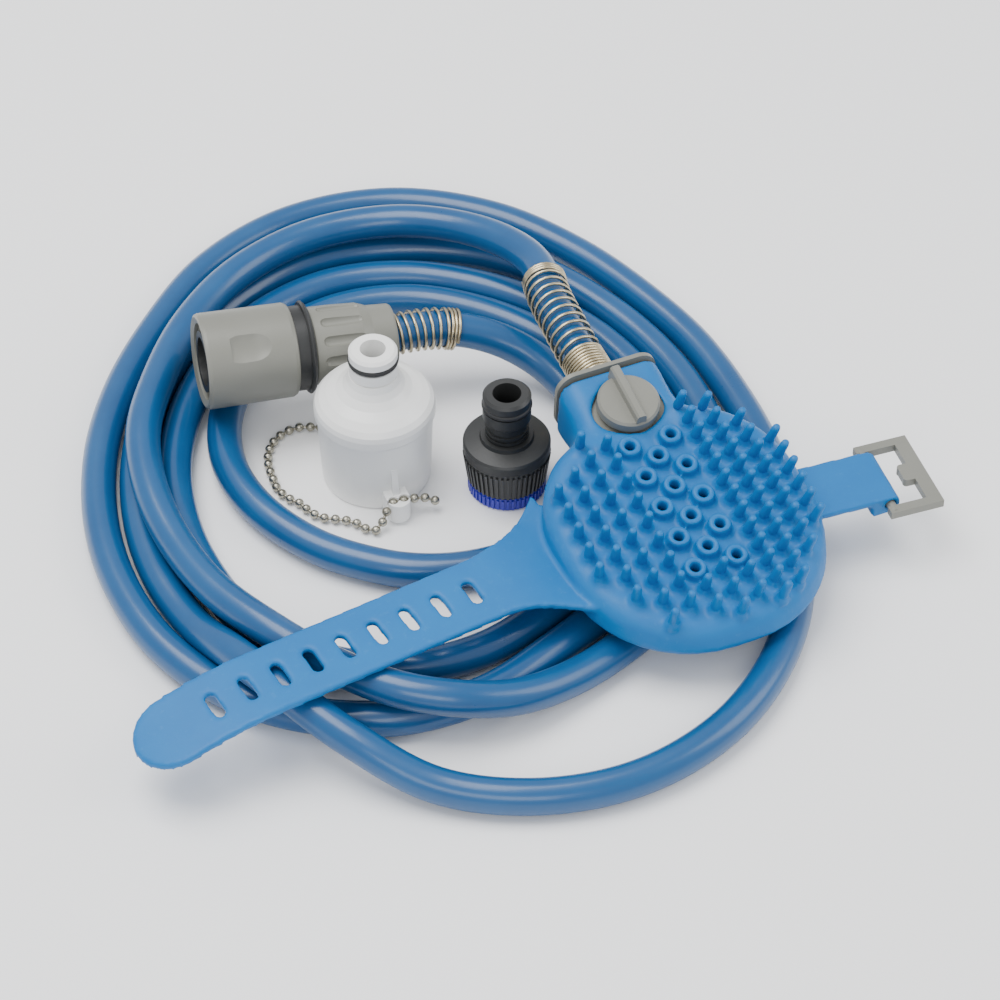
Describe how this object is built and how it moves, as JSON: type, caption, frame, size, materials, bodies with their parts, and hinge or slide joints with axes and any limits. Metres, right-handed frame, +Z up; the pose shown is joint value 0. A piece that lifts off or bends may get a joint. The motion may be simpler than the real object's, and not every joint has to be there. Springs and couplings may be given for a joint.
{
  "type": "handheld pet bath sprayer",
  "caption": "Palm-worn silicone pet bath brush with spray nozzles, a quarter-turn valve, a coiled hose with a quick connector, and two tap adapters.",
  "frame": {"origin": "middle of the box round everything but the hose and the pieces on it, at the height of the surface it lies on", "axes": "+Z up; +Y the way the neck of the sprayer points; +X towards the buckle"},
  "size_m": [0.294, 0.3137, 0.059],
  "materials": {
    "silicone": "satin",
    "hose": "semi-gloss",
    "grey_plastic": "satin",
    "black_plastic": "satin",
    "white_plastic": "satin",
    "blue_plastic": "satin",
    "black_rubber": "matt",
    "steel": "polished",
    "spring_wire": "plated",
    "brass": "turned",
    "chain_steel": "rolled"
  },
  "bodies": {
    "sprayer_and_hose": {"silicone_cover": "silicone", "front_housing": "grey_plastic", "rear_housing": "grey_plastic", "housing_seal": "black_rubber", "housing_screws": "steel", "neck_collar": "grey_plastic", "inlet_barb": "brass", "sprayer_spring": "spring_wire", "hose": "hose", "connector_spring": "spring_wire", "hose_nut": "grey_plastic", "connector_body": "black_plastic", "connector_seal": "black_rubber", "locking_claws": "steel", "sleeve_spring": "steel"},
    "knob": {"valve_knob": "grey_plastic", "valve_spindle": "brass", "valve_o_rings": "black_rubber", "knob_screw": "steel"},
    "buckle": {"buckle": "grey_plastic"},
    "sleeve": {"locking_sleeve": "grey_plastic"},
    "spout_adapter": {"spout_adapter": "white_plastic", "spout_o_ring": "black_rubber", "spout_gasket": "black_rubber", "bead_chain": "chain_steel"},
    "tap_adapter": {"tap_adapter": "black_plastic", "tap_o_ring": "black_rubber", "tap_washer": "black_rubber", "tap_reducer": "blue_plastic", "reducer_washer": "black_rubber"}
  },
  "joints": [
    {"name": "valve_turn", "type": "hinge", "parent": "sprayer_and_hose", "child": "knob", "pos_m": [0.0556, 0.00765, 0.04378], "axis": [0, -0.2045, 0.9789], "range_deg": [0, 90]},
    {"name": "buckle_swing", "type": "hinge", "parent": "sprayer_and_hose", "child": "buckle", "pos_m": [0.1281, -0.0415, 0.022], "axis": [-0.0872, -0.9962, 0], "range_deg": [-45, 100]},
    {"name": "sleeve_pull", "type": "slide", "parent": "sprayer_and_hose", "child": "sleeve", "axis": [0.9875, -0.1476, -0.0558], "range_m": [0, 0.004], "stiffness_N_per_m": 800, "springref_m": -0.002, "deforming": ["sleeve_spring"]},
    {"name": "spout_adapter_lift", "type": "slide", "parent": "sprayer_and_hose", "child": "spout_adapter", "axis": [0, -0.5, 0.866], "range_m": [0, 0.08]},
    {"name": "tap_adapter_lift", "type": "slide", "parent": "sprayer_and_hose", "child": "tap_adapter", "axis": [0, 0, 1], "range_m": [0, 0.08]}
  ]
}
